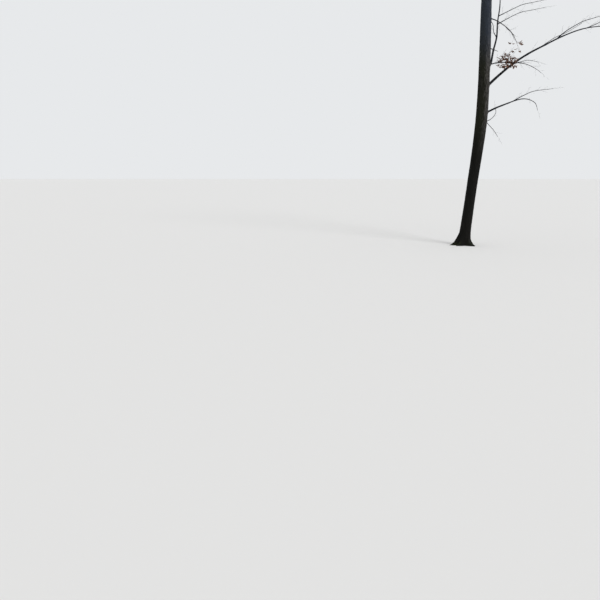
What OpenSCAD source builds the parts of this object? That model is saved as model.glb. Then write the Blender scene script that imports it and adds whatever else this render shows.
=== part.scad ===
// Leafless broadleaf woodland tree, standing, about 15 m tall.
// The stem leans to the right, turns back at the low branches and runs up
// into a light crown. Millimetres, +Z up, origin at ground level in the
// middle of the foot, low branches to the right (+X).

/* [Stem] */
// Height from the ground to the tip of the leader
tree_h = 15000; // [14000:100:16500]
// Diameter at the ground, without the root flare
foot_d = 272; // [250:2:310]
// Height at which a tree's girth is measured
breast_h = 1300; // [1200:50:1400]
// Diameter at that height
breast_d = 240; // [210:2:270]
// Lean to the right at that height
breast_out = 96; // [60:2:120]
// Height at which the lean turns back
sweep_h = 3050; // [2800:50:3300]
// Lean to the right at the turn
sweep_out = 220; // [160:5:280]
// Diameter at the turn, swollen by old branch collars
sweep_d = 262; // [240:2:290]
// Height of the first limb of the crown
crown_h = 6000; // [5700:50:6300]
// Lean to the right at that height
crown_out = 92; // [60:2:140]
// Diameter at that height
crown_d = 212; // [190:2:230]
// Height at which the stem ends and the leader goes on
leader_h = 9600; // [9300:50:10000]
// Diameter of the stem's top
leader_d = 148; // [130:2:170]
// Diameter of the leader's tip
tip_d = 16; // [12:1:24]
// How far the axis wanders to each side in the crown
crown_sway = 100; // [70:5:120]

/* [Roots] */
// Height of the flare above the ground
flare_h = 480; // [400:10:600]
// How far the flare spreads the foot on each side
flare_out = 24; // [14:2:40]
// Depth of the flutes between the roots
flute = 12; // [6:1:18]
// Height at which the roots begin, inside the stem
root_h = 340; // [320:5:360]
// How far the longest root reaches from the stem's axis before it is under the ground
root_reach = 350; // [330:5:390]
// Diameter of the thickest root at its widest
root_d = 94; // [88:2:100]

/* [Forks] */
// How far below the leader's foot the first fork leaves the stem
fork_drop = 1250; // [1100:50:1400]
// Length of the first fork
fork_len = 5300; // [4900:50:5600]
// Base diameter of the first fork
fork_d = 104; // [92:2:116]
// How far above the leader's foot the second fork leaves the leader
high_fork_rise = 900; // [750:50:1050]
// Length of the second fork
high_fork_len = 4000; // [3700:50:4300]
// Base diameter of the second fork
high_fork_d = 76; // [66:2:86]

/* [Crown limbs] */
// How far below the tip the last limb leaves the leader
top_limb_gap = 1500; // [1200:50:1800]
// Length of the longest crown limbs
limb_len = 3200; // [2900:50:3500]
// How much shorter the lowest crown limbs are
shaded_cut = 1000; // [600:50:1200]
// Length of the highest crown limbs
top_limb_len = 1350; // [1100:50:1500]
// Base diameter of the lowest crown limbs
limb_d = 68; // [58:1:80]
// Base diameter of the highest crown limbs
top_limb_d = 27; // [22:1:34]
// Distance between side shoots along a limb
shoot_gap = 390; // [350:10:470]
// Longest side shoot
shoot_len = 1150; // [900:50:1300]
// Diameter at which the modelled wood ends
twig_d = 7; // [6:0.5:10]

/* [Joints between pieces] */
// Clearance between a piece and the wood that it seats on
seat_gap = 0.3; // [0.2:0.05:0.5]

/* [Hidden] */
// Columns of the tables of branches
BASE = 0; // height on the stem's axis
TURN = 1; // compass direction, 0 to the right, 90 away from the track
RISE = 2; // angle above level at the base
TIP = 3; // angle above level at the tip
BEND = 4; // 1 bends evenly, more bends late, less bends early
LEN = 5; // length along the wood
DIAM = 6; // diameter at the base
SWAY = 7; // how many degrees it wanders to each side

// Low branches, from the photographed side, lowest first
low_branches = [
    // base, turn, rise, tip, bend, len, diam, sway
    [2840, -15, 20, 124, 2.5, 500, 18, 0],
    [2975, 10, -34, -52, 1, 620, 16, 5],
    [3035, 2, 24, -90, 4.3, 1500, 51, 3],
    [3580, 9, 40, -6, 1.5, 4080, 66, 5],
    [3760, 62, 21, 93, 0.55, 3300, 66, 6],
    [4095, -14, 9, -44, 1.8, 1290, 28, 7],
    [4490, 6, -14, -18, 1, 330, 26, 0],
    [5090, -18, -18, -70, 1.3, 960, 24, 3]
];
low_names = ["hooked_shoot", "low_shoot", "arched_branch", "long_limb",
    "steep_limb", "thin_branch", "dead_stub", "drooping_branch"];

// Side shoots that the low branches carry, as [branch, share along it, row]
low_shoots = [
    [2, 0.52, [0, -4, 26, 6, 1.2, 920, 20, 4]],
    [3, 0.52, [0, 22, 28, 20, 1, 1700, 26, 5]],
    [3, 0.34, [0, -34, 20, 30, 1, 1150, 18, 6]],
    [3, 0.70, [0, -36, 12, 26, 1, 900, 16, 6]],
    [3, 0.80, [0, 40, 10, 26, 1, 640, 14, 6]],
    [4, 0.44, [0, 86, 30, 64, 1, 1150, 20, 6]],
    [4, 0.54, [0, -12, 36, 9, 0.4, 1100, 20, 5]],
    [4, 0.60, [0, 10, 22, 16, 1, 1350, 19, 5]],
    [4, 0.72, [0, -38, 46, 66, 1, 950, 17, 6]],
    [4, 0.82, [0, 150, 50, 70, 1, 640, 14, 6]],
    [5, 0.55, [0, -52, 4, -20, 1, 520, 11, 6]],
    [7, 0.50, [0, 24, -26, -50, 1, 420, 10, 6]]
];

// Roots, as turn and as shares of the longest reach and of the greatest diameter
roots = [
    [172, 1, 1],
    [236, 0.88, 0.84],
    [292, 0.96, 0.92],
    [338, 0.84, 0.8],
    [46, 0.9, 0.9],
    [112, 0.9, 0.84]
];

// Distance from the axis to the end of each root inside the stem
root_start = foot_d * 0.28;
// How steeply a root falls at first, and how far it turns aside on its way out
root_fall = 3;
root_bend = 14;

leader_len = tree_h - leader_h;

// Rows along the axis, as height, lean to the right, lean back, diameter
axis_rows = [
    [0, 0, 0, foot_d],
    [breast_h, breast_out, breast_out / 8, breast_d],
    [sweep_h, sweep_out, sweep_out * 0.12, sweep_d],
    [crown_h, crown_out, crown_sway * -0.34, crown_d],
    [(crown_h + leader_h) / 2, crown_out + crown_sway * 0.3, crown_sway * 0.4, (crown_d + leader_d) / 2],
    [leader_h, crown_out + crown_sway * 1.4, crown_sway * -0.1, leader_d],
    [leader_h + 0.24 * leader_len, crown_out + crown_sway * 0.6, crown_sway * 0.9, leader_d * 0.74],
    [leader_h + 0.46 * leader_len, crown_out + crown_sway * 1.9, crown_sway * 0.6, leader_d * 0.56],
    [leader_h + 0.66 * leader_len, crown_out + crown_sway * 0.9, crown_sway * 1.9, leader_d * 0.4],
    [leader_h + 0.84 * leader_len, crown_out + crown_sway * 1.9, crown_sway * 1.5, leader_d * 0.24],
    [tree_h, crown_out + crown_sway * 1.2, crown_sway * 2.3, tip_d]
];

// Forks, the two heaviest branches, which grow up beside the leader
forks = [
    // base, turn, rise, tip, bend, len, diam, sway
    [leader_h - fork_drop, 166, 50, 86, 0.45, fork_len, fork_d, 5],
    [leader_h + high_fork_rise, 20, 52, 84, 0.5, high_fork_len, high_fork_d, 6]
];
fork_names = ["fork_1", "fork_2"];
// Degrees that the crown limbs leave free on each side of a fork
fork_turn_room = 55;
// How far below a fork's base the limbs begin to keep clear of it
fork_reach = 1500;
// Distance between a fork's branches, how long they may be, and their shoots as a share of that
fork_gap = shoot_gap * 1.5;
fork_branch_len = 1900;
next_shoots = 0.45;

// Turn of the first crown limb
spiral_start = 8;
// Turn from one crown limb to the next, the usual spiral
spiral_turn = 137.5;
// Angle from one limb's wander to the next, so that no two limbs are alike
wander_turn = 197;
// Number of crown limbs
limb_count = 21;
// How much the limbs differ in height, turn, rise at base and tip, length and girth
height_vary = 120;
turn_vary = 14;
rise_vary = 8;
tip_rise_vary = 9;
len_vary_share = 0.16;
girth_vary_share = 0.12;
// Rise of the lowest crown limb, and what is added up to the highest at base and tip
low_limb_rise = 34;
rise_gain = 18;
tip_rise_gain = 44;
limb_sway = 12;
// Angle between a shoot and its limb, what it loses toward the tip, and how the shoot bends up
shoot_spread = 46;
spread_loss = 8;
shoot_lift_up = 30;
shoot_lift_down = -20;
shoot_turn_up = 20;
steepest_rise = 84;
shoot_sway = 8;
// How far a shoot may turn from its limb's direction, so that none grows back to the stem
shoot_turn_room = 75;
// How far each stretch of a limb leans to one side and then to the other, as a share of it
kink_share = 0.13;
low_kink_share = 0.05;
// Length and thickness of the collar at a branch's base, the latter as a share
collar_len = 260;
collar_share = 0.3;
// Sides of the stem, of a limb and of a side shoot
stem_sides = 24;
limb_sides = 8;
shoot_sides = 5;
// Stretches along a low branch and along a side shoot
low_steps = 9;
shoot_steps = 4;
root_steps = 9;
// Heights of the rings near the ground, as shares of the flare's height
flare_rings = [0, 0.12, 0.28, 0.5, 0.75, 1];
// Distance between the rings above the flare
ring_gap = 560;
// How far up and down the axis a branch's seat is cut
cut_reach = 1400;

function two_digits(n) = str(n < 10 ? "0" : "", n);
limb_names = [for (i = [1 : limb_count]) str("limb_", two_digits(i))];
root_names = [for (i = [1 : len(roots)]) str("root_", i)];

bark = [0.27, 0.25, 0.23];
bark_low = [0.23, 0.22, 0.18];
bark_thin = [0.31, 0.26, 0.24];

// Number of the last row of a table that starts at or below height h
function row_below(rows, h, i = 0) =
    i >= len(rows) - 2 || rows[i + 1][0] > h ? i : row_below(rows, h, i + 1);

// Slope of a column at row i, taken between the rows on each side
function slope(rows, column, i) =
    let (low = max(i - 1, 0), high = min(i + 1, len(rows) - 1))
    (rows[high][column] - rows[low][column]) / (rows[high][0] - rows[low][0]);

// Value of a column at height h, on a smooth curve through the rows
function smooth(rows, column, h) =
    let (i = row_below(rows, h), span = rows[i + 1][0] - rows[i][0],
         t = (h - rows[i][0]) / span,
         start = slope(rows, column, i) * span,
         end = slope(rows, column, i + 1) * span)
    (2 * t ^ 3 - 3 * t ^ 2 + 1) * rows[i][column] + (t ^ 3 - 2 * t ^ 2 + t) * start
    + (3 * t ^ 2 - 2 * t ^ 3) * rows[i + 1][column] + (t ^ 3 - t ^ 2) * end;

// Middle of the stem or the leader at height h
function axis_at(h) = [smooth(axis_rows, 1, h), smooth(axis_rows, 2, h), h];

// Spread of the foot at height h and at one turn, widest over each root
function flare_at(h, turn) =
    let (fade = max(0, 1 - h / flare_h) ^ 2.2,
         ridge = max([for (r = roots) max(0, cos(1.5 * near_turn(turn, r[0])))]))
    fade * (flare_out + flute * (2 * ridge - 1));

// Angle between two turns, at most 60 so that one ridge ends before the next
function near_turn(a, b) = min(60, abs(between(a, b)));

// Ring of the stem or the leader at height h, grown by a clearance
function axis_ring(h, grow) =
    [for (k = [0 : stem_sides - 1])
        let (turn = 360 * k / stem_sides,
             r = smooth(axis_rows, 3, h) / 2 + flare_at(h, turn) + grow)
        axis_at(h) + r * [cos(turn), sin(turn), 0]];

// Heights of evenly spaced rings from one height up to another
function even_rings(from, to) =
    let (count = ceil((to - from) / ring_gap))
    [for (k = [0 : count]) from + (to - from) * k / count];

// Closed skin over a list of rings that run upwards
module skin(rings) {
    n = len(rings[0]);
    last = len(rings) - 1;
    sides = [for (i = [0 : last - 1]) for (k = [0 : n - 1])
        let (a = i * n + k, b = i * n + (k + 1) % n) each [[a, a + n, b], [b, a + n, b + n]]];
    foot = [for (k = [0 : n - 1]) k];
    top = [for (k = [n - 1 : -1 : 0]) last * n + k];
    polyhedron([for (ring = rings) each ring], concat(sides, [foot, top]));
}

// Heights of the rings of the stem and of the leader
stem_rings = concat([for (s = flare_rings) s * flare_h], even_rings(flare_h + ring_gap, leader_h));
leader_rings = even_rings(leader_h, tree_h);

// Stem or leader near height h, grown by the seat's clearance
module axis_cut(h)
    skin([for (z = concat(stem_rings, [for (i = [1 : len(leader_rings) - 1]) leader_rings[i]]))
        if (abs(z - h) < cut_reach) axis_ring(z, seat_gap)]);

// Direction of a branch at a share along it, as turn and rise
function heading(row, s) =
    [row[TURN] + row[SWAY] * sin(400 * s + 3 * row[TURN]),
     row[RISE] + (row[TIP] - row[RISE]) * s ^ row[BEND]];

// Unit vectors along a heading, level across it, and square to both
function along(head) =
    [cos(head[1]) * cos(head[0]), cos(head[1]) * sin(head[0]), sin(head[1])];
function across(head) = [-sin(head[0]), cos(head[0]), 0];
function over(head) =
    [-sin(head[1]) * cos(head[0]), -sin(head[1]) * sin(head[0]), cos(head[1])];

// Side that a branch leans to at stretch i, which changes every time
function side_of(i) = i % 2 == 0 ? 1 : -1;
// The same up and down, which changes every second time
function lift_of(i) = i % 4 < 2 ? 0.6 : -0.6;

// Points along a branch from its start, one for each stretch's end
function walk(row, from, steps, lean, i = 0) =
    i == steps ? [from] :
    let (head = heading(row, (i + 0.5) / steps),
         step = along(head) + lean * (side_of(i) * across(head) + lift_of(i) * over(head)))
    concat([from], walk(row, from + row[LEN] / steps * step, steps, lean, i + 1));

// Point at a share along a branch, between the ends of its stretches
function point_along(path, s) =
    let (at = s * (len(path) - 1), i = min(floor(at), len(path) - 2))
    path[i] + (at - i) * (path[i + 1] - path[i]);

// Radius of a branch at a share along it, with a collar at its base
function radius_along(row, s) =
    let (end = min(twig_d, row[DIAM] * 0.6),
         swell = max(0, 1 - s * row[LEN] / collar_len) ^ 2)
    (row[DIAM] * (1 + collar_share * swell) + (end - row[DIAM]) * s ^ 0.85) / 2;

// Ring of points square to a branch at a share along it
function branch_ring(row, path, s, sides) =
    let (head = heading(row, s), r = radius_along(row, s))
    [for (k = [0 : sides - 1])
        point_along(path, s) + r * (cos(360 * k / sides) * across(head)
            + sin(360 * k / sides) * over(head))];

// Wood of one branch, a skin over the rings along its path
module branch_wood(row, path, sides) {
    steps = len(path) - 1;
    skin([for (i = [0 : steps]) branch_ring(row, path, i / steps, sides)]);
}

// Branch on the axis, cut to the stem's skin with the seat's clearance
module seated(height) {
    difference() {
        union() children();
        axis_cut(height);
    }
}

// Angle from one turn to another, from -180 to 180
function between(turn, other) =
    let (off = (turn - other + 180) % 360) off < 0 ? off + 180 : off - 180;

// Side shoot of a branch at the end of stretch k, on the outside of the kink there
function shoot_row(row, k, steps, longest) =
    let (s = k / steps, head = heading(row, s), spread = shoot_spread - spread_loss * s,
         lift = k % 4 < 2 ? shoot_lift_up : shoot_lift_down,
         out = along(head) * cos(spread)
             + (-side_of(k) * across(head) * cos(lift) + over(head) * sin(lift)) * sin(spread),
         off = between(atan2(out[1], out[0]), row[TURN]),
         rise = asin(out[2]))
    [0, row[TURN] + max(-shoot_turn_room, min(shoot_turn_room, off)), rise,
     min(steepest_rise, rise + shoot_turn_up), 1, min(longest, row[LEN] * (0.5 - 0.34 * s)),
     radius_along(row, s) * 1.15, shoot_sway];

// Branch with its shoots, and with their shoots where the level is 2
module ramified(row, from, gap, level, longest, sides) {
    steps = level == 0 ? shoot_steps : max(4, round(row[LEN] / gap));
    path = walk(row, from, steps, kink_share);
    branch_wood(row, path, sides);
    if (level > 0)
        for (k = [2 : steps - 1])
            ramified(shoot_row(row, k, steps, longest), path[k], gap, level - 1,
                longest * next_shoots, level == 2 ? shoot_sides + 1 : shoot_sides);
}

// Turn that keeps its distance from another
function away(turn, other, room) =
    let (off = between(turn, other))
    abs(off) > room ? turn : other + (off > 0 ? room : -room);

// Turn of a limb that keeps clear of the forks near it
function clear_turn(turn, base, i = 0) =
    i == len(forks) ? turn :
    clear_turn(base > forks[i][BASE] - fork_reach ? away(turn, forks[i][TURN], fork_turn_room) : turn,
        base, i + 1);

// Length of a crown limb at share s of the crown, longest a third of the way up
function crown_len(s) =
    s < 1 / 3 ? limb_len - shaded_cut * (1 - 3 * s) ^ 2
    : limb_len + (top_limb_len - limb_len) * (1.5 * s - 0.5) ^ 1.4;

// Crown limb i, higher ones steeper and thinner
function crown_row(i) =
    let (s = i / (limb_count - 1), wander = sin(wander_turn * i),
         vary = sin(1.7 * wander_turn * i + 40),
         base = crown_h + (tree_h - top_limb_gap - crown_h) * s + height_vary * wander)
    [base, clear_turn(spiral_start + spiral_turn * i + turn_vary * vary, base),
     low_limb_rise + rise_gain * s + rise_vary * wander,
     low_limb_rise + tip_rise_gain * min(1, 1.6 * s) - tip_rise_vary * vary, 0.9,
     crown_len(s) * (1 + len_vary_share * vary),
     (limb_d + (top_limb_d - limb_d) * s) * (1 + girth_vary_share * vary), limb_sway];

module stem() color(bark_low) skin([for (z = stem_rings) axis_ring(z, 0)]);

// The leader's foot stands clear of the stem's top by the seat's clearance
module leader() color(bark)
    skin([for (z = leader_rings) axis_ring(max(z, leader_h + seat_gap), 0)]);

// Radius of a root at a share along it, widest where it leaves the flare
function root_radius(thick, s) = thick / 2 * (0.1 + (0.5 + 2.2 * s) * (1 - s));

// Root as a ridge that runs down the flare and out into the ground, cut level there
module root(i) {
    span = roots[i][1] * root_reach - root_start;
    rings = [for (k = [0 : root_steps])
        let (s = k / root_steps,
             turn = roots[i][0] + side_of(i) * root_bend * s,
             head = [turn, -atan(root_fall * root_h * (1 - s) ^ (root_fall - 1) / span)],
             middle = [cos(turn), sin(turn), 0] * (root_start + span * s)
                 + [0, 0, root_h * (1 - s) ^ root_fall],
             r = root_radius(roots[i][2] * root_d, s))
        [for (j = [0 : limb_sides - 1])
            middle + r * (cos(360 * j / limb_sides) * across(head) + sin(360 * j / limb_sides) * over(head))]];
    color(bark_low) difference() {
        skin(rings);
        axis_cut(root_h);
        translate([-root_reach * 2, -root_reach * 2, -root_reach])
            cube([root_reach * 4, root_reach * 4, root_reach]);
    }
}

// Low branch i with the side shoots that the table gives it
module low_branch(i) {
    row = low_branches[i];
    path = walk(row, axis_at(row[BASE]), low_steps, low_kink_share);
    color(bark) seated(row[BASE]) {
        branch_wood(row, path, limb_sides);
        for (shoot = low_shoots)
            if (shoot[0] == i)
                branch_wood(shoot[2], walk(shoot[2], point_along(path, shoot[1]), shoot_steps, kink_share),
                    shoot_sides + 1);
    }
}

// Fork i with its branches and their shoots
module fork(i) color(bark) seated(forks[i][BASE])
    ramified(forks[i], axis_at(forks[i][BASE]), fork_gap, 2, fork_branch_len, limb_sides);

// Crown limb i with its shoots
module crown_limb(i) {
    row = crown_row(i);
    color(bark_thin) seated(row[BASE])
        ramified(row, axis_at(row[BASE]), shoot_gap, 1, shoot_len, limb_sides);
}

stem();
leader();
for (i = [0 : len(roots) - 1])
    root(i);
for (i = [0 : len(low_branches) - 1])
    low_branch(i);
for (i = [0 : len(forks) - 1])
    fork(i);
for (i = [0 : limb_count - 1])
    crown_limb(i);
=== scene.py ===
import math
import random
import bpy
import numpy as np
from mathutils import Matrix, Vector, noise


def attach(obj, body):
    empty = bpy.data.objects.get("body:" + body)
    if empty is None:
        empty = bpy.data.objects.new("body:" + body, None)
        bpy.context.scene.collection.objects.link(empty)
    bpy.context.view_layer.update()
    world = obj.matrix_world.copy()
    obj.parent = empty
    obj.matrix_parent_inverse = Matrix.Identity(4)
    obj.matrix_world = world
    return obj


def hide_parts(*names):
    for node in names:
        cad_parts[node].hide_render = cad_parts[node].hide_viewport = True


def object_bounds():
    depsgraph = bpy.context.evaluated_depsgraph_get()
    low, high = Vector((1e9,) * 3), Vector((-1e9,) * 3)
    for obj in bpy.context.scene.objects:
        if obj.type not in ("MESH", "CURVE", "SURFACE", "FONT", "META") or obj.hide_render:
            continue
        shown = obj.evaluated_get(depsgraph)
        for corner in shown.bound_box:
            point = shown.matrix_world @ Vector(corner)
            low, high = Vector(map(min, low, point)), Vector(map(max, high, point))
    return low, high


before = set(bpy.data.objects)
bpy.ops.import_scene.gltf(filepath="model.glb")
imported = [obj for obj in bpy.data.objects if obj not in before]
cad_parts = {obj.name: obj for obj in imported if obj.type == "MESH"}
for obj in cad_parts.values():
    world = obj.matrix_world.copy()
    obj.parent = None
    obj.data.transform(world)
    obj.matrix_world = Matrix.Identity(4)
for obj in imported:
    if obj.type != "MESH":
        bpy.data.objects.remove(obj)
cad_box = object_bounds()

# Camera
# The eye is 1.6 m over the ground, 13.4 m from the stem's foot and to its left, and looks slightly
# down. So the tree stands at the right of the frame, and the frame's top cuts off its crown.
eye_from_foot = (-4.014, -12.74, 1.6)
looking_down = math.radians(13.2)
view_width = math.radians(60)
farthest_view = 3000
photo_camera = bpy.data.cameras.new("photo_camera")
photo_camera.angle = view_width
photo_camera.clip_end = farthest_view
camera = bpy.data.objects.new("photo_camera", photo_camera)
camera.location = eye_from_foot
camera.rotation_euler = (math.pi / 2 - looking_down, 0, 0)
bpy.context.collection.objects.link(camera)
bpy.context.scene.camera = camera

# Bark
# One bark over the whole tree, as on a living one: ridged plates over dark fissures low on the
# stem, thin and nearly smooth on the limbs, reddish on the twigs. Rain has darkened it, and painted
# shade darkens its left side and its foot further, while painted light makes a paler dry strip on
# its right side. Green algae grows on its damp side, moss round its foot, and lichen dots it.

# colours, two of them where a pattern mixes the darker one with the paler one
fissure = (0.0075, 0.0065, 0.0055, 1)
plate_grey = ((0.031, 0.030, 0.027, 1), (0.074, 0.071, 0.064, 1))
limb_grey = ((0.0075, 0.0085, 0.0115, 1), (0.021, 0.0235, 0.031, 1))
twig_red = ((0.0105, 0.0085, 0.0095, 1), (0.025, 0.0195, 0.021, 1))
# dry grey: the paler dry strip on the right side, partly painted light
dry_lit_grey = ((0.066, 0.063, 0.06, 1), (0.092, 0.088, 0.083, 1))
algae_green = ((0.0068, 0.0078, 0.0036, 1), (0.021, 0.0235, 0.0105, 1))
moss_green = ((0.0085, 0.0115, 0.004, 1), (0.026, 0.033, 0.011, 1))
# wet black: the wet left side, partly painted shade
wet_shade_black = (0.0062, 0.0064, 0.0048, 1)
# soaked black: the soaked foot, partly painted shade
soaked_shade_black = (0.0046, 0.0043, 0.0037, 1)
film_blue = (0.034, 0.0425, 0.062, 1)
lichen_pale = (0.12, 0.128, 0.104, 1)

# radii of the wood between which one kind of bark passes into the next
twig_to_limb = (0.003, 0.011)
limb_to_stem = (0.014, 0.07)

# heights between which a cover of the bark begins, or ends where the first one is the higher
# the dry strip is partly painted light, and the wet side and the soaked foot are partly painted
# shade
dry_lit_begins = (2.4, 3.1)
dry_lit_narrows = (4.0, 4.6)
wet_shade_ends = (6.8, 4.8)
film_begins = (3.9, 4.9)
film_ends = (9.5, 6.0)
algae_ends = (6.6, 2.2)
soaked_shade_ends = (3.3, 2.0)
moss_ends = (0.7, 0.1)
foot_moss_ends = (0.26, 0.0)
lichen_begins = (1.8, 3.6)
streaks_end = (7.0, 1.0)

# the damp side on the left, which is also painted darker with shade; the side away from it is
# painted lighter
toward_damp_shade = (-0.8, -0.3, 0.35)
bump_depth = 0.0045


class Wire:
    """A socket with the shader maths that is done on it."""

    def __init__(self, nodes, socket):
        self.nodes = nodes
        self.socket = socket

    def __add__(self, other): return self.nodes.maths("ADD", self, other)
    def __sub__(self, other): return self.nodes.maths("SUBTRACT", self, other)
    def __mul__(self, other): return self.nodes.maths("MULTIPLY", self, other)
    def __rsub__(self, other): return self.nodes.maths("SUBTRACT", other, self)
    __radd__ = __add__
    __rmul__ = __mul__


class Nodes:
    """Nodes of one material or of the even light, each made by add() with its values."""

    def __init__(self, holder):
        self.holder = holder
        holder.use_nodes = True
        self.tree = holder.node_tree
        self.tree.nodes.clear()

    def add(self, kind, out=0, settings=None, **sockets):
        """Makes a node and gives one of its outputs. A socket is named with _ for a space, or by
        i and its number."""
        node = self.tree.nodes.new(kind)
        for name, value in (settings or {}).items():
            setattr(node, name, value)
        for name, value in sockets.items():
            number = name[1:]
            socket = node.inputs[int(number) if number.isdigit() else name.replace("_", " ")]
            if isinstance(value, Wire):
                self.tree.links.new(value.socket, socket)
            else:
                socket.default_value = value
        return Wire(self, node.outputs[out]) if len(node.outputs) else None

    def maths(self, operation, first, second):
        return self.add("ShaderNodeMath", settings={"operation": operation}, i0=first, i1=second)

    def vector(self, operation, first, second, out=0):
        return self.add("ShaderNodeVectorMath", out, {"operation": operation}, i0=first, i1=second)

    def stretch(self, vector, factors): return self.vector("MULTIPLY", vector, factors)
    def shift(self, vector, offset): return self.vector("ADD", vector, offset)
    def facing(self, normal, toward): return self.vector("DOT_PRODUCT", normal, toward, out=1)

    def attribute(self, name, out=2):
        return self.add("ShaderNodeAttribute", out, {"attribute_name": name})

    def step(self, value, low, high):
        """0 below low, 1 above high and smooth between, or the other way where low is higher."""
        return self.add("ShaderNodeMapRange", settings={"interpolation_type": "SMOOTHSTEP"},
                        Value=value, From_Min=low, From_Max=high)

    def mix(self, share, first, second):
        """Mix of two colours."""
        return self.add("ShaderNodeMix", 2, {"data_type": "RGBA"}, i0=share, i6=first, i7=second)

    def noise(self, vector, scale, detail=3.0, rough=0.55):
        return self.add("ShaderNodeTexNoise", Vector=vector, Scale=scale, Detail=detail,
                        Roughness=rough)


bark = Nodes(bpy.data.materials.new("bark"))
grain = bark.attribute("grain", out=1)
girth = bark.attribute("girth")
ridge = bark.attribute("ridge")
place = bark.add("ShaderNodeTexCoord", out=3)
height = bark.add("ShaderNodeSeparateXYZ", out=2, Vector=place)
normal = bark.add("ShaderNodeNewGeometry", out=1)
damp_shaded_side = bark.facing(normal, toward_damp_shade)
upward = bark.facing(normal, (0, 0, 1))
thick = bark.step(girth, *limb_to_stem)

# patterns along the grain, and blotches in the tree's own space
fine_cracks = bark.noise(bark.stretch(grain, (1, 1, 0.2)), 150.0, 4.0, 0.6)
plates = bark.noise(bark.stretch(grain, (1, 1, 0.3)), 34.0)
furrows = bark.noise(bark.shift(bark.stretch(grain, (1, 1, 0.17)), (3, 5, 2)), 42.0, 3.0, 0.5) - 0.5
furrow = bark.step(furrows * furrows, 0.0, 0.0035)
blotches = bark.noise(place, 5.5)
patches = bark.noise(bark.shift(place, (5, 2, 8)), 1.7)
damp = bark.noise(bark.stretch(place, (1, 1, 0.1)), 14.0, 2.0)
speckle = bark.noise(bark.shift(place, (7, 3, 1)), 60.0, 2.0)
crusts = bark.noise(bark.shift(place, (2, 9, 4)), 26.0, 3.0, 0.6)

# the bare bark of the stem, of the limbs and of the twigs
open_bark = bark.mix(blotches, *plate_grey)
open_bark = bark.mix(bark.step(ridge + (plates - 0.5) * 0.5, 0.1, 0.75), fissure, open_bark)
open_bark = bark.mix(bark.maths("MAXIMUM", furrow, 0.3), fissure, open_bark)
cracked = bark.mix(0.55, open_bark, fissure)
open_bark = bark.mix(bark.step(fine_cracks, 0.36, 0.5), cracked, open_bark)
thin_bark = bark.mix(plates, *limb_grey)
twig_bark = bark.mix(plates, *twig_red)
thin_bark = bark.mix(bark.step(girth, *twig_to_limb), twig_bark, thin_bark)

# the paler dry strip on the right side, partly painted light where the lamp falls, and the wet
# side beside it, darkened partly by wet and partly by painted shade
dry_lit_edge = damp_shaded_side + (blotches - 0.5) * 0.35 + bark.step(height, *dry_lit_narrows) * 0.18
dry_lit_side = bark.step(dry_lit_edge, 0.43, 0.2) * bark.step(height, *dry_lit_begins)
open_bark = bark.mix(dry_lit_side * furrow * 0.85, open_bark, bark.mix(patches, *dry_lit_grey))
wood_colour = bark.mix(thick, thin_bark, open_bark)
wet_shaded_side = bark.step(dry_lit_edge, 0.22, 0.5) * bark.step(height, *wet_shade_ends)
wood_colour = bark.mix(wet_shaded_side * thick * 0.72, wood_colour, wet_shade_black)

# the blue-grey film high on the stem, the algae, the soaked foot (darkened partly by wet and
# partly by painted shade), the moss and the lichen
film = bark.step(height, *film_begins) * bark.step(height, *film_ends)
film = film * bark.step(fine_cracks, 0.3, 0.5) * thick
wood_colour = bark.mix(film * 0.78, wood_colour, film_blue)
algae = bark.step(damp_shaded_side + (blotches - 0.5) * 1.2, -0.15, 0.75) * bark.step(girth, 0.006, 0.04)
algae = algae * bark.step(height, *algae_ends) * bark.step(patches, 0.2, 0.55)
algae = algae * (0.78 - dry_lit_side * 0.6)
wood_colour = bark.mix(algae, wood_colour, bark.mix(speckle, *algae_green))
soaked_and_shaded = bark.step(height + (damp - 0.5) * 1.6 + (patches - 0.5) * 0.8, *soaked_shade_ends)
wood_colour = bark.mix(soaked_and_shaded * 0.92, wood_colour, soaked_shade_black)
moss = bark.step(upward + (plates - 0.5) * 0.9, 0.35, 0.85) * bark.step(girth, 0.012, 0.04)
foot_moss = bark.step(height + (plates - 0.5) * 0.3, *foot_moss_ends)
foot_moss = foot_moss * bark.step(blotches, 0.46, 0.66) * 0.6
moss = bark.step(moss * bark.step(height, *moss_ends) + foot_moss, 0.1, 0.9)
wood_colour = bark.mix(moss * 0.6, wood_colour, bark.mix(speckle, *moss_green))
lichen = bark.step(crusts, 0.6, 0.72) * bark.step(patches, 0.42, 0.62)
lichen = lichen * bark.step(speckle, 0.3, 0.6) * bark.step(girth, 0.025, 0.07)
lichen = lichen * bark.step(height, *lichen_begins)
wood_colour = bark.mix(lichen * 0.42, wood_colour, lichen_pale)
streaks = bark.step(damp, 0.52, 0.7) * bark.step(height, *streaks_end)
wood_colour = bark.mix(streaks * 0.5, wood_colour, fissure)
relief = ridge * 0.4 + plates * 0.4 + furrow * thick * 0.5 + fine_cracks * 0.35 + speckle * 0.08
bumps = bark.add("ShaderNodeBump", Height=relief, Strength=0.8, Distance=bump_depth)
bark.add("ShaderNodeOutputMaterial", Surface=bark.add(
    "ShaderNodeBsdfPrincipled", Base_Color=wood_colour, Normal=bumps, Specular_IOR_Level=0.08,
    Roughness=0.88 - streaks * 0.3 - soaked_and_shaded * 0.14))


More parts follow.
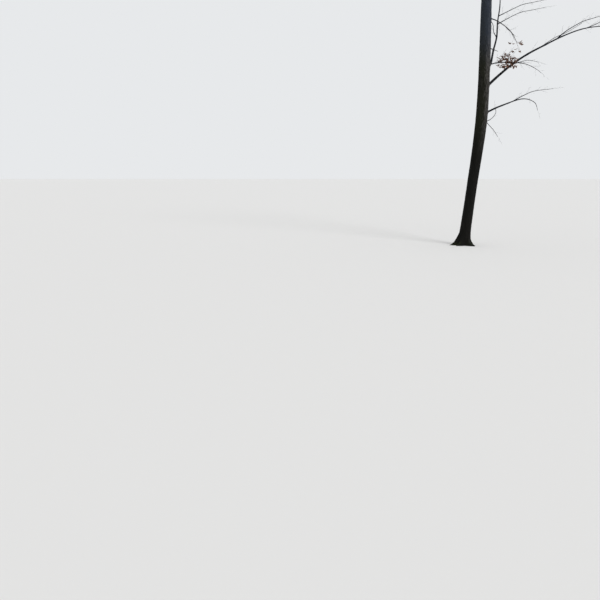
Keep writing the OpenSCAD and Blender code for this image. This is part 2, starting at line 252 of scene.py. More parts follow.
# Stem
# The bole, one piece of living wood from the ground to where the leader goes on. It leans to the
# right, turns back at the low branches, stands on a fluted root flare, and swells into a collar
# where each branch leaves it. Its bark is split into plates that follow the stem.
stem_top = 9.6
tree_top = 15.0
first_limb = 6.0
foot_width = 0.272
leader_width = 0.148
crown_out = 0.092
crown_sway = 0.1
leader_length = tree_top - stem_top
HEIGHT, LEAN, BACK, DIAMETER = range(4)
axis_rows = np.array([
    # height, lean to the right, lean back, diameter
    [0, 0, 0, foot_width],
    [1.3, 0.096, 0.012, 0.24],
    [3.05, 0.22, 0.0264, 0.262],
    [first_limb, crown_out, -0.34 * crown_sway, 0.212],
    [(first_limb + stem_top) / 2, crown_out + 0.3 * crown_sway, 0.4 * crown_sway, 0.18],
    [stem_top, crown_out + 1.4 * crown_sway, -0.1 * crown_sway, leader_width],
    [stem_top + 0.24 * leader_length, crown_out + 0.6 * crown_sway, 0.9 * crown_sway,
     leader_width * 0.74],
    [stem_top + 0.46 * leader_length, crown_out + 1.9 * crown_sway, 0.6 * crown_sway,
     leader_width * 0.56],
    [stem_top + 0.66 * leader_length, crown_out + 0.9 * crown_sway, 1.9 * crown_sway,
     leader_width * 0.4],
    [stem_top + 0.84 * leader_length, crown_out + 1.9 * crown_sway, 1.5 * crown_sway,
     leader_width * 0.24],
    [tree_top, crown_out + 1.2 * crown_sway, 2.3 * crown_sway, 0.007],
])
root_rows = [
    # turn of each root, share of the longest reach, share of the greatest thickness
    (172, 1, 1),
    (236, 0.88, 0.84),
    (292, 0.96, 0.92),
    (338, 0.84, 0.8),
    (46, 0.9, 0.9),
    (112, 0.9, 0.84),
]
root_reach = 0.35
root_start = foot_width * 0.28
root_top = 0.34
root_thickness = 0.094
root_fall = 3
root_bend = 14
web_width = 21
web_share = 0.8
web_over_root = 0.8
flare_height = 0.48
flare_fall = 2.2
flare_out = 0.024
flute_depth = 0.012
flute_half_turn = 60
collar_swell = 0.42
collar_reach = 3
uneven_share = 0.05
plate_relief = 0.0055
plate_middle = 0.75
plates_from = 0.02
plates_grow = 0.09
least_plates = 0.12

# how closely the bark's warps, plates and cross cracks stand across and along the stem
warp_scale = (9, 3.1)
plate_scale = (30, 5.5)
crack_scale = (12, 17)


def sine(degrees): return math.sin(math.radians(degrees))
def cosine(degrees): return math.cos(math.radians(degrees))
def side_of(i): return 1 if i % 2 == 0 else -1
def turn_between(turn, other): return (turn - other + 900) % 360 - 180


def smooth(column, height):
    """Value of a column of the axis's rows at a height, on a smooth curve through the rows."""
    rows = axis_rows
    i = np.searchsorted(rows[:, HEIGHT], height, side="right") - 1
    i = int(np.clip(i, 0, len(rows) - 2))
    slopes = []
    for k in (i, i + 1):
        low, high = max(k - 1, 0), min(k + 1, len(rows) - 1)
        change = rows[high] - rows[low]
        slopes.append(change[column] / change[HEIGHT])
    span = rows[i + 1, HEIGHT] - rows[i, HEIGHT]
    t = (height - rows[i, HEIGHT]) / span
    share = 3 * t ** 2 - 2 * t ** 3
    value = (1 - share) * rows[i, column] + share * rows[i + 1, column]
    return value + span * ((t ** 3 - 2 * t ** 2 + t) * slopes[0] + (t ** 3 - t ** 2) * slopes[1])


def axis_at(height):
    """Middle of the stem or the leader at a height."""
    return np.array([smooth(LEAN, height), smooth(BACK, height), height])


def root_radius(thick_share, s):
    """Radius of a root at a share of its length."""
    return root_thickness * thick_share / 2 * (0.1 + (0.5 + 2.2 * s) * (1 - s))


def flare_at(height, turn, radius):
    """How far the foot spreads at a height and a turn: widest over each root, where the wood is
    drawn out into a web on both of the root's flanks."""
    fade = max(0.0, 1 - height / flare_height) ** flare_fall
    near = min(flute_half_turn, min(abs(turn_between(turn, root[0])) for root in root_rows))
    flute = 2 * max(0.0, cosine(90 * near / flute_half_turn)) - 1
    spread = fade * (flare_out + flute_depth * flute)
    web = 0.0
    if height < root_top:
        shares = np.linspace(1, 0, 21)
        for i, (root_turn, reach_share, thick_share) in enumerate(root_rows):
            tops = root_top * (1 - shares) ** root_fall
            tops = tops + web_over_root * root_radius(thick_share, shares)
            s = float(np.interp(height, tops, shares))
            reach = root_start + (root_reach * reach_share - root_start) * s
            off = turn_between(turn, root_turn + side_of(i) * root_bend * s)
            drawn = web_share * max(0.0, reach - radius - spread)
            web = max(web, drawn * math.exp(-(off / web_width) ** 2))
    return spread + web


class Wood:
    """The skins of one piece of wood, gathered before they become its mesh."""

    def __init__(self):
        self.points, self.faces, self.grain, self.girth, self.ridge = [], [], [], [], []
        self.count = 0

    def add(self, points, faces, grain, girth, ridge):
        """Adds points and faces, with the place in the grain, the wood's radius and the height
        of the bark's surface at each point."""
        self.points.append(points)
        self.faces.extend(tuple(int(i) + self.count for i in face) for face in faces)
        self.grain.append(grain)
        self.girth.append(girth)
        self.ridge.append(ridge)
        self.count += len(points)

    def skin(self, rings, grain, girth, ridge):
        """Adds a closed skin over rings of points that run from the base to the tip."""
        last, sides = len(rings) - 1, len(rings[0])
        index = np.arange((last + 1) * sides).reshape(last + 1, sides)
        low, high = index[:-1], index[1:]
        quads = np.stack([low, np.roll(low, -1, 1), np.roll(high, -1, 1), high], 2).reshape(-1, 4)
        faces = [tuple(q) for q in quads] + [tuple(index[0][::-1]), tuple(index[-1])]
        self.add(rings.reshape(-1, 3), faces, grain.reshape(-1, 3), girth.reshape(-1),
                 ridge.reshape(-1))

    def finish(self, name, surface, slot, *nodes):
        """Makes the piece, gives it its material, and lets it stand for its CAD nodes."""
        mesh = bpy.data.meshes.new(name)
        mesh.from_pydata(np.concatenate(self.points).tolist(), [], self.faces)
        grain = mesh.attributes.new("grain", "FLOAT_VECTOR", "POINT")
        grain.data.foreach_set("vector", np.concatenate(self.grain).astype(np.float32).ravel())
        for label, values in (("girth", self.girth), ("ridge", self.ridge)):
            layer = mesh.attributes.new(label, "FLOAT", "POINT")
            layer.data.foreach_set("value", np.concatenate(values).astype(np.float32))
        mesh.materials.append(surface.holder)
        piece = bpy.data.objects.new(name, mesh)
        bpy.context.collection.objects.link(piece)
        bpy.ops.object.select_all(action="DESELECT")
        piece.select_set(True)
        bpy.context.view_layer.objects.active = piece
        bpy.ops.object.shade_smooth()
        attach(piece, "root")
        if nodes:
            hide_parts(*nodes)


def bark_noise(x, y, z, scale, *offsets):
    """Noise at a place of the bark, closer across the stem than along it."""
    across_scale, along_scale = scale
    return noise.noise(Vector((x * across_scale + offsets[0], y * across_scale + offsets[1],
                               z * along_scale + offsets[2])))


def ridges(x, y, z, depth):
    """Height of the plated bark's surface, from 0 in a fissure to 1 on a plate."""
    warp = bark_noise(x, y, z, warp_scale, 0, 0, 0)
    split = abs(bark_noise(x, y, z, plate_scale, warp, -warp, warp * 0.7))
    cross = abs(bark_noise(x, y, z, crack_scale, 5, 0, warp))
    plate = min(1.0, split * 4.2) ** 0.8
    return plate * (0.72 + 0.28 * min(1.0, cross * 5)) * depth + (1 - depth) * 0.8


def axis_wood(wood, heights, sides, collars, roughness):
    """Adds the skin of the stem or the leader through rings at the given heights."""
    turns = 2 * math.pi * np.arange(sides) / sides
    rings = np.zeros((len(heights), sides, 3))
    grain = np.zeros_like(rings)
    girth = np.zeros((len(heights), sides))
    ridge = np.zeros((len(heights), sides))
    for i, h in enumerate(heights):
        middle = axis_at(h)
        radius = smooth(DIAMETER, h) / 2
        depth = roughness * min(1.0, max(least_plates, (radius - plates_from) / plates_grow))
        for k, turn in enumerate(turns):
            out = np.array([math.cos(turn), math.sin(turn), 0])
            uneven = noise.noise(Vector((out[0] * 1.3, out[1] * 1.3, h * 0.9)))
            r = radius * (1 + uneven_share * uneven) + flare_at(h, math.degrees(turn), radius)
            for spot, size in collars:
                gap = np.linalg.norm(middle + out * r - spot)
                if gap < collar_reach * size:
                    r += collar_swell * size * math.exp(-(gap / size) ** 2 * 1.4)
            level = ridges(out[0] * radius, out[1] * radius, h, depth)
            rings[i, k] = middle + out * (r + plate_relief * depth * (level - plate_middle))
            grain[i, k] = (out[0] * radius, out[1] * radius, h)
            girth[i, k] = radius
            ridge[i, k] = level
    wood.skin(rings, grain, girth, ridge)


# Branching
# How the branches grow: each is a path of short stretches that lean to one side and then to the
# other, tapers to its tip, swells into a collar at its base, and sends a shoot out at each kink.

# what a branch's row holds: height of its base, turn round the stem, rise at the base and at the
# tip, how late it bends, length, thickness at the base, and how far it sways
BASE, TURN, RISE, TIP, BEND, LEN, DIAM, SWAY = range(8)
kink = 0.13
low_kink = 0.05
shoot_stretches = 4
wood_end = 0.007
base_swell = 0.3
base_swell_length = 0.26
taper_power = 0.85
node_swell = 0.13
node_swell_length = 0.035
limb_unevenness = 0.07

# least radius of a branch at its base, and the sides and the gap of its rings
branch_rings = ((0.03, 16, 0.035), (0.018, 12, 0.035), (0.008, 8, 0.05), (0, 6, 0.05))


def unit(vectors):
    """A direction, or rows of directions, at a length of 1."""
    return vectors / np.linalg.norm(vectors, axis=-1, keepdims=True)


def heading(row, s):
    """Turn and rise of a branch at a share of its length."""
    return (row[TURN] + row[SWAY] * sine(400 * s + 3 * row[TURN]),
            row[RISE] + (row[TIP] - row[RISE]) * s ** row[BEND])


def along(head):
    """Direction of a heading; across() points level to its side, over() square to both."""
    return np.array([cosine(head[1]) * cosine(head[0]), cosine(head[1]) * sine(head[0]),
                     sine(head[1])])


def across(head):
    return np.array([-sine(head[0]), cosine(head[0]), 0])


def over(head):
    return np.array([-sine(head[1]) * cosine(head[0]), -sine(head[1]) * sine(head[0]),
                     cosine(head[1])])


def lift_of(i): return 0.6 if i % 4 < 2 else -0.6


def walk(row, start, stretches, lean):
    """Path of a branch, as the ends of its stretches."""
    points = [np.array(start)]
    for i in range(stretches):
        head = heading(row, (i + 0.5) / stretches)
        step = along(head) + lean * (side_of(i) * across(head) + lift_of(i) * over(head))
        points.append(points[-1] + row[LEN] / stretches * step)
    return np.array(points)


def radius_along(row, s):
    """Radius of a branch at a share of its length."""
    end = min(wood_end, row[DIAM] * 0.6)
    swell = np.maximum(0, 1 - s * row[LEN] / base_swell_length) ** 2
    return (row[DIAM] * (1 + base_swell * swell) + (end - row[DIAM]) * s ** taper_power) / 2


def rounded(path, shares):
    """Points at shares of a path, on a smooth curve through its points."""
    last = len(path) - 1
    ends = np.concatenate([[2 * path[0] - path[1]], path, [2 * path[-1] - path[-2]]])
    at = np.clip(np.asarray(shares) * last, 0, last - 1e-9)
    i = at.astype(int)
    t = (at - i)[:, None]
    a, b, c, d = ends[i], ends[i + 1], ends[i + 2], ends[i + 3]
    square, cube = 2 * a - 5 * b + 4 * c - d, 3 * b - a - 3 * c + d
    return 0.5 * (2 * b + (c - a) * t + square * t ** 2 + cube * t ** 3)


def branch_wood(wood, row, path, seed):
    """Adds the rounded, slightly uneven wood of one branch, and gives its smooth path and radii."""
    thickest = row[DIAM] / 2
    sides, gap = next(ring for least, *ring in branch_rings if thickest > least)
    shares = np.linspace(0, 1, max(10, int(row[LEN] / gap)))
    points = rounded(path, shares)
    radii = radius_along(row, shares)
    stretches = len(path) - 1
    for k in range(2, stretches):
        off = (shares - k / stretches) * row[LEN]
        radii = radii * (1 + node_swell * np.exp(-(off / node_swell_length) ** 2))
    forward = unit(np.gradient(points, axis=0))
    side = np.cross(forward[0], (0.3, 0.2, 1.0))
    turns = 2 * math.pi * np.arange(sides) / sides
    rings = np.zeros((len(shares), sides, 3))
    grain = np.zeros_like(rings)
    ridge = np.zeros((len(shares), sides))
    for i, (point, ahead, radius) in enumerate(zip(points, forward, radii)):
        side = unit(side - ahead * side.dot(ahead))
        up = np.cross(ahead, side)
        run = shares[i] * row[LEN]
        for k, turn in enumerate(turns):
            c, s = math.cos(turn), math.sin(turn)
            uneven = noise.noise(Vector((c * 1.2 + seed, s * 1.2, run * 7)))
            uneven += 0.5 * noise.noise(Vector((c * 3 + seed, s * 3, run * 26)))
            rings[i, k] = point + (c * side + s * up) * radius * (1 + limb_unevenness * uneven)
            grain[i, k] = (c * radius + seed, s * radius, run)
            ridge[i, k] = 0.6 + 0.5 * uneven
    wood.skin(rings, grain, np.repeat(radii[:, None], sides, 1), ridge)
    return points, radii


# Twigs
# The thin wood carries fine twigs, a little zigzag, with pointed winter buds on their tips. Four
# twigs are modelled, and stand nearly three thousand times round it, each turned and sized.
twig_length = 0.34
twig_joints = 4
twig_sides = 3
twig_radius = 0.0023
twig_taper = 0.0012
side_twig_radii = [0.0014, 0.0009]
tip_bud = 0.009
side_bud = 0.008
bud_widest = 0.45
bud_swell = 1.9
bud_point = 0.25
twig_ridge = 0.6
twig_room = 0.09
first_twig = 0.06
twig_behind = 0.05
spiral_turn = 137.5


def thin_tube(wood, points, radii, sides):
    """Adds a tube of a few flat sides through a few points."""
    points = np.array(points)
    radii = np.array(radii)[:, None]
    forward = unit(np.gradient(points, axis=0))
    side = unit(np.cross(forward, (0.2, 0.1, 1.0)))
    up = np.cross(forward, side)
    turns = (2 * math.pi * np.arange(sides) / sides)[None, :, None]
    ring = np.cos(turns) * side[:, None, :] + np.sin(turns) * up[:, None, :]
    rings = points[:, None, :] + ring * radii[:, None, :]
    girth = np.repeat(radii, sides, 1)
    wood.skin(rings, rings.copy(), girth, np.full(girth.shape, twig_ridge))


def with_bud(points, radii, bud):
    """Adds a pointed bud past the end of a twig."""
    ahead = unit(points[-1] - points[-2])
    return (points + [points[-1] + ahead * bud * bud_widest, points[-1] + ahead * bud],
            radii + [radii[-1] * bud_swell, radii[-1] * bud_point])


def twig_model(seed):
    """One twig along +X, with side twigs in turn."""
    chance = random.Random(seed)
    twig = Wood()
    points, radii = [np.zeros(3)], [twig_radius]
    for k in range(twig_joints):
        ahead = unit(np.array([1, 0.22 * side_of(k + seed), chance.uniform(-0.12, 0.16)]))
        points.append(points[-1] + ahead * twig_length / twig_joints)
        radii.append(twig_radius - twig_taper * (k + 1) / twig_joints)
    thin_tube(twig, *with_bud(points, radii, tip_bud), twig_sides)
    for k in range(1, twig_joints):
        out = unit(np.array([0.75, -0.62 * side_of(k - 1 + seed), chance.uniform(-0.4, 0.5)]))
        length = twig_length * chance.uniform(0.24, 0.42) * (1.15 - 0.22 * k)
        side_points = [points[k], points[k] + out * length]
        thin_tube(twig, *with_bud(side_points, side_twig_radii, side_bud), twig_sides)
    return np.concatenate(twig.points), twig.faces, np.concatenate(twig.girth)


twig_models = [twig_model(seed) for seed in range(4)]
wood_box = (np.array(cad_box[0]) - twig_room, np.array(cad_box[1]) + twig_room)


def set_along(ahead, toward):
    """Turn of a model whose length goes ahead and whose width goes square to a direction."""
    side = unit(np.cross(ahead, toward))
    return np.stack([ahead, side, np.cross(ahead, side)])


def set_twig(wood, chance, foot, ahead, size):
    """Stands one of the twigs on a foot, unless it would reach past the tree's own spread, and
    gives its middle line."""
    points, faces, girth = twig_models[chance.randrange(len(twig_models))]
    toward = (chance.uniform(-1, 1), chance.uniform(-1, 1), chance.uniform(0.2, 1))
    placed = foot + points @ set_along(ahead, toward) * size
    if (placed < wood_box[0]).any() or (placed > wood_box[1]).any():
        return []
    offset = np.array([chance.uniform(0, 9), chance.uniform(0, 9), 0])
    wood.add(placed, faces, points * size + offset, girth, np.full(len(points), twig_ridge))
    return [placed[:twig_sides * (twig_joints + 1)].reshape(-1, twig_sides, 3).mean(1)]


def feather(wood, chance, points, radii, gap, longest=1.0, start=0.0, upward=0.22,
            thickest=0.0125):
    """Sets twigs along the thin wood of a branch, in a spiral, and one on its tip. Gives their
    middle lines."""
    lines = []
    lengths = np.concatenate([[0], np.cumsum(np.linalg.norm(np.diff(points, axis=0), axis=1))])
    total = lengths[-1]

    def point_at(run):
        return np.array([np.interp(run, lengths, points[:, c]) for c in range(3)])

    at = max(start, first_twig)
    turn = chance.uniform(0, 360)
    while at < total - 0.02:
        if float(np.interp(at, lengths, radii)) < thickest:
            foot = point_at(at)
            ahead = unit(foot - point_at(at - twig_behind))
            side = unit(np.cross(ahead, (0.1, 0.2, 1.0)))
            up = np.cross(side, ahead)
            out = side * cosine(turn) * 1.2 + up * sine(turn) * 0.8 + np.array([0, 0, upward])
            out = ahead * chance.uniform(0.75, 1.15) + unit(out) * chance.uniform(0.7, 1.0)
            size = longest * (0.42 + 0.58 * (1 - at / total)) * chance.uniform(0.55, 1.15)
            lines += set_twig(wood, chance, foot, unit(out), size)
        turn += spiral_turn + chance.uniform(-20, 20)
        at += gap * chance.uniform(0.7, 1.3)
    ahead = unit(points[-1] - points[-3])
    return lines + set_twig(wood, chance, points[-1], ahead, longest * chance.uniform(0.6, 0.85))


# Crown limbs and forks
# The boughs of the crown: one fork below the leader's foot and one above it, and 21 limbs in a
# spiral between and round them, which rise toward the light and are shorter where they are shaded.
limb_count = 21
last_limb = tree_top - 1.5
longest_limb = 3.2
top_limb = 1.35
shaded_cut = 1.0
limb_width = 0.068
limb_narrows = 0.041
steepest_tip = 84
shoot_gap = 0.39
longest_shoot = 1.15
shoot_room = 75
spiral_start = 8
wander_turn = 197
forks = [
    # height of the base, turn, rise at the base, rise at the tip, bend, length, thickness, sway
    [stem_top - 1.25, 166, 50, 86, 0.45, 5.3, 0.104, 5],
    [stem_top + 0.9, 20, 52, 84, 0.5, 4.0, 0.076, 6],
]
fork_room = 55
fork_reach = 1.5
fork_shoot_gap = shoot_gap * 1.5
longest_fork_shoot = 1.9
second_shoot_share = 0.45
crown_twig_gap = 0.052


def kept_off(turn, other, room):
    """Turn of a limb, moved where it would stand too near to a fork's."""
    off = turn_between(turn, other)
    return turn if abs(off) > room else other + (room if off > 0 else -room)


def limb_row(i):
    """Row of one limb of the crown, from the lowest, 0, to the highest."""
    s = i / (limb_count - 1)
    wander = sine(wander_turn * i)
    vary = sine(1.7 * wander_turn * i + 40)
    base = first_limb + (last_limb - first_limb) * s + 0.12 * wander
    turn = spiral_start + spiral_turn * i + 14 * vary
    for fork in forks:
        if base > fork[BASE] - fork_reach:
            turn = kept_off(turn, fork[TURN], fork_room)
    if s < 1 / 3:
        length = longest_limb - shaded_cut * (1 - 3 * s) ** 2
    else:
        length = longest_limb + (top_limb - longest_limb) * (1.5 * s - 0.5) ** 1.4
    return [base, turn, 34 + 18 * s + 8 * wander, 34 + 44 * min(1, 1.6 * s) - 9 * vary, 0.9,
            length * (1 + 0.16 * vary), (limb_width - limb_narrows * s) * (1 + 0.12 * vary), 12]


def shoot_row(row, k, stretches, longest):
    """Row of the shoot that leaves a branch at its kink k, to each side in turn."""
    s = k / stretches
    head = heading(row, s)
    spread = 46 - 8 * s
    lift = 30 if k % 4 < 2 else -20
    sideways = -side_of(k) * across(head) * cosine(lift) + over(head) * sine(lift)
    out = along(head) * cosine(spread) + sideways * sine(spread)
    rise = math.degrees(math.asin(out[2]))
    off = turn_between(math.degrees(math.atan2(out[1], out[0])), row[TURN])
    turn = row[TURN] + float(np.clip(off, -shoot_room, shoot_room))
    length = min(longest, row[LEN] * (0.5 - 0.34 * s))
    return [0, turn, rise, min(steepest_tip, rise + 20), 1, length,
            float(radius_along(row, s)) * 1.15, 8]


def ramified(wood, chance, row, start, gap, level, longest):
    """Adds a branch, its shoots and theirs, down to a level, each feathered with twigs."""
    stretches = shoot_stretches if level == 0 else max(4, math.floor(row[LEN] / gap + 0.5))
    path = walk(row, start, stretches, kink)
    points, radii = branch_wood(wood, row, path, chance.uniform(0, 50))
    feather(wood, chance, points, radii, crown_twig_gap)
    if level:
        for k in range(2, stretches):
            ramified(wood, chance, shoot_row(row, k, stretches, longest), path[k], gap, level - 1,
                     longest * second_shoot_share)


def collar_of(row):
    """Place and size of the collar that the stem or the leader has over a branch's base."""
    head = heading(row, 0.02)
    run = smooth(DIAMETER, row[BASE]) / 2 / max(0.25, cosine(head[1]))
    return axis_at(row[BASE]) + along(head) * run, row[DIAM] * 0.95


limb_rows = [limb_row(i) for i in range(limb_count)]
collars = [collar_of(row) for row in limb_rows + forks]
for i, row in enumerate(limb_rows):
    limb = Wood()
    ramified(limb, random.Random(100 + i), row, axis_at(row[BASE]), shoot_gap, 1, longest_shoot)
    limb.finish("crown_limb_%02d" % (i + 1), bark, "limb_bark", "limb_%02d" % (i + 1))
for i, row in enumerate(forks):
    fork = Wood()
    ramified(fork, random.Random(200 + i), row, axis_at(row[BASE]), fork_shoot_gap, 2,
             longest_fork_shoot)
    fork.finish("crown_fork_%d" % (i + 1), bark, "limb_bark", "fork_%d" % (i + 1))

# Low branches
# The branches below the crown, all on the lit right side: a long limb, a steep one beside the
# stem, thinner ones that arch or droop, and the stub of a dead one. Each grows out of a collar.
low_rows = {
    # height of the base, turn, rise at the base, rise at the tip, bend, length, thickness, sway
    "hooked_shoot": [2.84, -15, 20, 124, 2.5, 0.5, 0.018, 0],
    "low_shoot": [2.975, 10, -34, -52, 1, 0.62, 0.016, 5],
    "arched_branch": [3.035, 2, 24, -90, 4.3, 1.5, 0.051, 3],
    "long_limb": [3.58, 9, 40, -6, 1.5, 4.08, 0.066, 5],
    "steep_limb": [3.76, 62, 21, 93, 0.55, 3.3, 0.066, 6],
    "thin_branch": [4.095, -14, 9, -44, 1.8, 1.29, 0.028, 7],
    "dead_stub": [4.49, 6, -14, -18, 1, 0.33, 0.026, 0],
    "drooping_branch": [5.09, -18, -18, -70, 1.3, 0.96, 0.024, 3],
}
low_shoots = {
    # share of the branch at which a shoot leaves it, and the shoot's row
    "arched_branch": [(0.52, [0, -4, 26, 6, 1.2, 0.92, 0.02, 4])],
    "long_limb": [(0.52, [0, 22, 28, 20, 1, 1.7, 0.026, 5]),
                  (0.34, [0, -34, 20, 30, 1, 1.15, 0.018, 6]),
                  (0.70, [0, -36, 12, 26, 1, 0.9, 0.016, 6]),
                  (0.80, [0, 40, 10, 26, 1, 0.64, 0.014, 6])],
    "steep_limb": [(0.44, [0, 86, 30, 64, 1, 1.15, 0.02, 6]),
                   (0.54, [0, -12, 36, 9, 0.4, 1.1, 0.02, 5]),
                   (0.60, [0, 10, 22, 16, 1, 1.35, 0.019, 5]),
                   (0.72, [0, -38, 46, 66, 1, 0.95, 0.017, 6]),
                   (0.82, [0, 150, 50, 70, 1, 0.64, 0.014, 6])],
    "thin_branch": [(0.55, [0, -52, 4, -20, 1, 0.52, 0.011, 6])],
    "drooping_branch": [(0.50, [0, 24, -26, -50, 1, 0.42, 0.01, 6])],
}
low_stretches = 9
low_twig_gap = 0.085
low_twig_size = 0.85
bare_start = 0.3
leafy_twigs = [
    # gap, size and upward pull of the twigs that carry leaves on the thin branch
    (0.03, 1.6, 1.1),
    (0.045, 0.95, -1.2),
]
leafy_start = 0.1
leafy_lines = []
for i, (name, row) in enumerate(low_rows.items()):
    chance = random.Random(300 + i)
    branch = Wood()
    grain_start = i * 3.1
    path = walk(row, axis_at(row[BASE]), low_stretches, low_kink)
    points, radii = branch_wood(branch, row, path, grain_start)
    if name == "thin_branch":
        near = len(points) * 5 // 9
        for gap, size, pull in leafy_twigs:
            leafy_lines += feather(branch, chance, points[:near], radii[:near], gap, size,
                                   leafy_start, pull)
        leafy_lines += feather(branch, chance, points[near:], radii[near:], low_twig_gap,
                               low_twig_size)
    elif name != "dead_stub":
        leafy_lines += feather(branch, chance, points, radii, low_twig_gap, low_twig_size,
                               bare_start)
    for share, shoot in low_shoots.get(name, []):
        shoot_path = walk(shoot, rounded(path, [share])[0], shoot_stretches, kink)
        points, radii = branch_wood(branch, shoot, shoot_path, grain_start + share * 20)
        leafy_lines += feather(branch, chance, points, radii, low_twig_gap, low_twig_size)
    branch.finish("low_" + name, bark, "limb_bark", name)
    collars.append(collar_of(row))

# Kept leaves
# A few dry brown leaves that the winter has not yet taken, curled and folded along their midribs,
# hang on short stalks in loose bunches from the thin branches beside the stem.
leaf_tan = ((0.098, 0.042, 0.028, 1), (0.205, 0.1, 0.062, 1))
leaf_spot = (0.035, 0.018, 0.012, 1)
leaf_midrib = (0.25, 0.14, 0.085, 1)
dry_leaf = Nodes(bpy.data.materials.new("dry_leaf"))
leaf_place = dry_leaf.add("ShaderNodeTexCoord", out=3)
leaf_tone = dry_leaf.attribute("girth")
leaf_rib = dry_leaf.attribute("ridge")
leaf_spots = dry_leaf.noise(leaf_place, 170.0)
leaf_colour = dry_leaf.mix(leaf_tone, *leaf_tan)
leaf_colour = dry_leaf.mix(dry_leaf.step(leaf_spots, 0.55, 0.75) * 0.6, leaf_colour, leaf_spot)
leaf_colour = dry_leaf.mix(leaf_rib * 0.5, leaf_colour, leaf_midrib)
leaf_bumps = dry_leaf.add("ShaderNodeBump", Height=leaf_spots + leaf_rib, Strength=0.5,
                          Distance=0.001)
dry_leaf.add("ShaderNodeOutputMaterial", Surface=dry_leaf.add(
    "ShaderNodeBsdfPrincipled", Base_Color=leaf_colour, Normal=leaf_bumps, Roughness=0.62))
leaf_length = 0.074
leaf_width = 0.042
stalk_length = 0.014
blade_thickness = 0.0009
blade_wave = 0.0016

# share of the length from the stalk's foot, and share of the greatest width there
leaf_outline = ((0.0, 0.03), (0.16, 0.034), (0.24, 0.52), (0.42, 0.96), (0.62, 1.0), (0.82, 0.62),
                (1.0, 0.03))

# place across the blade from one edge to the other, and its upper or lower face
leaf_section = ((-1, 1), (-0.5, 1), (0, 1), (0.5, 1), (1, 1), (0.5, -1), (0, -1), (-0.5, -1))


def leaf_model(seed):
    """One closed, curled leaf that hangs from its stalk's foot, with its midrib marked."""
    chance = random.Random(500 + seed)
    curl = chance.uniform(0.5, 1.3)
    fold = chance.uniform(0.25, 0.9)
    twist = chance.uniform(-0.9, 0.9)
    rings, ribs = [], []
    for share, width in leaf_outline:
        run = share * (leaf_length + stalk_length)
        bend = curl * share ** 1.5 * 0.5
        middle = np.array([run * math.cos(bend), 0, -run * math.sin(bend)])
        c, s = math.cos(twist * share), math.sin(twist * share)
        ring = []
        for out, side in leaf_section:
            half = leaf_width / 2 * width * out
            wave = blade_wave * math.sin(9 * share + 5 * out + seed) * abs(out)
            lift = fold * abs(half) + wave
            face = side * blade_thickness * (0.5 if abs(out) < 1 else 0)
            ring.append(middle + np.array([0, half * c - lift * s, half * s + lift * c + face]))
        rings.append(ring)
        ribs.append([1.0 if out == 0 or share < 0.2 else 0.0 for out, side in leaf_section])
    return np.array(rings), np.array(ribs)


leaf_models = [leaf_model(seed) for seed in range(6)]


def set_leaf(leaves, chance, foot, size):
    """Hangs one of the leaves from a foot on a twig."""
    rings, ribs = leaf_models[chance.randrange(len(leaf_models))]
    turn = chance.uniform(0, 360)
    ahead = along((turn, chance.uniform(-75, -5)))
    toward = (chance.uniform(-1, 1), chance.uniform(-1, 1), 1.5)
    placed = foot + rings @ set_along(ahead, toward) * size
    tone = np.full(ribs.shape, chance.uniform(0, 1))
    leaves.skin(placed, placed.copy(), tone, ribs)


leafy_box = ((0.31, -0.7, 3.9), (0.88, 0.5, 4.53))
leaves = Wood()
chance = random.Random(600)
for line in leafy_lines:
    for _ in range(chance.randrange(4, 9)):
        foot = rounded(line, [chance.uniform(0.2, 1)])[0]
        if (foot > leafy_box[0]).all() and (foot < leafy_box[1]).all():
            set_leaf(leaves, chance, foot, chance.uniform(0.72, 1.15))
leaves.finish("kept_leaves", dry_leaf, "dry_leaf")

# Roots
# Six roots run down the flare as ridges and out over the ground, dark with wet, painted shade and
# moss. The stem's skin swells toward each of them, as one wood with it.
root_rings = 44
root_sides = 20
root_roughness = 0.16
least_root_girth = 0.03
ground_cut = 0.0005
for i, (turn, reach_share, thick_share) in enumerate(root_rows):
    span = root_reach * reach_share - root_start
    rings = np.zeros((root_rings, root_sides, 3))
    grain = np.zeros_like(rings)
    girth = np.zeros((root_rings, root_sides))
    ridge = np.zeros((root_rings, root_sides))
    for j, s in enumerate(np.linspace(0, 1, root_rings)):
        bearing = turn + side_of(i) * root_bend * s
        slope = root_fall * root_top * (1 - s) ** (root_fall - 1) / span
        head = (bearing, -math.degrees(math.atan(slope)))
        middle = along((bearing, 0)) * (root_start + span * s)
        middle[2] = root_top * (1 - s) ** root_fall
        radius = root_radius(thick_share, s)
        if 0.05 < s < 0.5 and j % 4 == 0:
            collars.append((middle, radius * 1.15))
        for k in range(root_sides):
            c, t = cosine(360 * k / root_sides), sine(360 * k / root_sides)
            uneven = noise.noise(Vector((c * 1.1 + i * 5, t * 1.1, s * 3)))
            uneven += 0.5 * noise.noise(Vector((c * 3 + i * 5, t * 3, s * 11)))
            out = (across(head) * c + over(head) * t) * radius
            rings[j, k] = middle + out * (1 + root_roughness * uneven)
            grain[j, k] = (c * radius + i, t * radius, s * span)
            girth[j, k] = max(radius, least_root_girth)
            ridge[j, k] = 0.55 + 0.6 * uneven
    root = Wood()
    root.skin(rings, grain, girth, ridge)
    root.finish("root_wood_%d" % (i + 1), bark, "bark", "root_%d" % (i + 1))
    bpy.ops.object.mode_set(mode="EDIT")
    bpy.ops.mesh.select_all(action="SELECT")
    bpy.ops.mesh.bisect(plane_co=(0, 0, ground_cut), plane_no=(0, 0, 1), use_fill=True,
                        clear_inner=True)
    bpy.ops.object.mode_set(mode="OBJECT")

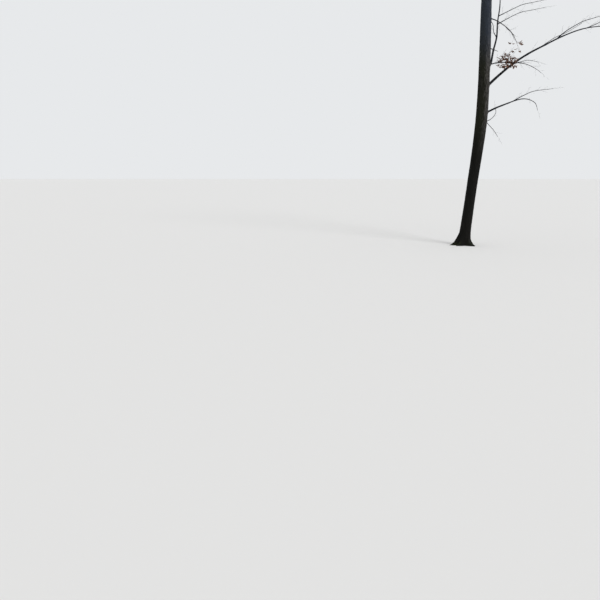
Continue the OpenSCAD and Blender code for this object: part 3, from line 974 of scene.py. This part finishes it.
# Skins of the stem and the leader
# The bark of the bole and of the leader above it. It comes last, because it swells over the base
# of every branch and toward every root. The leader's thin end carries twigs and short shoots.
foot_ring_gap = 0.008
stem_ring_gap = 0.02
stem_sides = 120
leader_sides = 56
leader_rings = 200
leader_roughness = 0.8
tip_start = stem_top + 2.6
tip_twig_gap = 0.045
tip_twig_size = 1.5
tip_twigs_under = 0.024
tip_shoots = np.linspace(13.05, 14.72, 11)
tip_shoot_twigs = (0.05, 0.7)
stem = Wood()
stem_heights = np.concatenate([np.arange(0, root_top, foot_ring_gap),
                               np.arange(root_top, stem_top + stem_ring_gap / 2, stem_ring_gap)])
axis_wood(stem, stem_heights, stem_sides, collars, 1.0)
stem.finish("stem_wood", bark, "bark", "stem")
leader = Wood()
leader_heights = np.linspace(stem_top, tree_top, leader_rings)
axis_wood(leader, leader_heights, leader_sides, collars, leader_roughness)
chance = random.Random(400)
tip_heights = np.linspace(tip_start, tree_top, 60)
tip_points = np.array([axis_at(h) for h in tip_heights])
tip_radii = np.array([smooth(DIAMETER, h) / 2 for h in tip_heights])
feather(leader, chance, tip_points, tip_radii, tip_twig_gap, tip_twig_size,
        thickest=tip_twigs_under)
for i, h in enumerate(tip_shoots):
    s = i / (len(tip_shoots) - 1)
    shoot = [h, 40 + spiral_turn * i, 44 + 10 * s, 66 + 10 * s, 1, 0.74 - 0.42 * s,
             0.0125 - 0.005 * s, 8]
    path = walk(shoot, axis_at(h), shoot_stretches, kink)
    points, radii = branch_wood(leader, shoot, path, i * 2.3)
    feather(leader, chance, points, radii, *tip_shoot_twigs)
leader.finish("leader_wood", bark, "bark", "leader")

# Floor and light
# A pale floor at the ground line, an even light from all round, and one wide soft lamp from the
# right. Behind the tree the camera and gloss see a pale grey, which adds no light to it.
floor_width = 2000
floor_pale = (0.75, 0.75, 0.745, 1)
backdrop_grey = (0.8, 0.815, 0.83, 1)
even_strength = 0.75
lamp_strength = 1.3
lamp_spread = math.radians(25)
lamp_tilt = (math.radians(38), math.radians(34), 0)
bpy.ops.object.select_all(action="DESELECT")
bpy.ops.mesh.primitive_plane_add(size=floor_width)
floor = bpy.context.object
floor.name = "floor"
pale = Nodes(bpy.data.materials.new("pale_floor"))
pale.add("ShaderNodeOutputMaterial", Surface=pale.add(
    "ShaderNodeBsdfPrincipled", Base_Color=floor_pale, Roughness=0.9))
floor.data.materials.append(pale.holder)
even = Nodes(bpy.data.worlds.new("even_light"))
even_light = even.add("ShaderNodeBackground", Color=(1, 1, 1, 1), Strength=even_strength)
backdrop = even.add("ShaderNodeBackground", Color=backdrop_grey)
seen = even.maths("MAXIMUM", even.add("ShaderNodeLightPath", out="Is Camera Ray"),
                  even.add("ShaderNodeLightPath", out="Is Glossy Ray"))
even.add("ShaderNodeOutputWorld", Surface=even.add(
    "ShaderNodeMixShader", i0=seen, i1=even_light, i2=backdrop))
bpy.context.scene.world = even.holder
lamp = bpy.data.lights.new("soft_lamp", "SUN")
lamp.energy = lamp_strength
lamp.angle = lamp_spread
lamp_stand = bpy.data.objects.new("soft_lamp", lamp)
lamp_stand.rotation_euler = lamp_tilt
bpy.context.collection.objects.link(lamp_stand)
bpy.context.scene.view_settings.view_transform = "Standard"
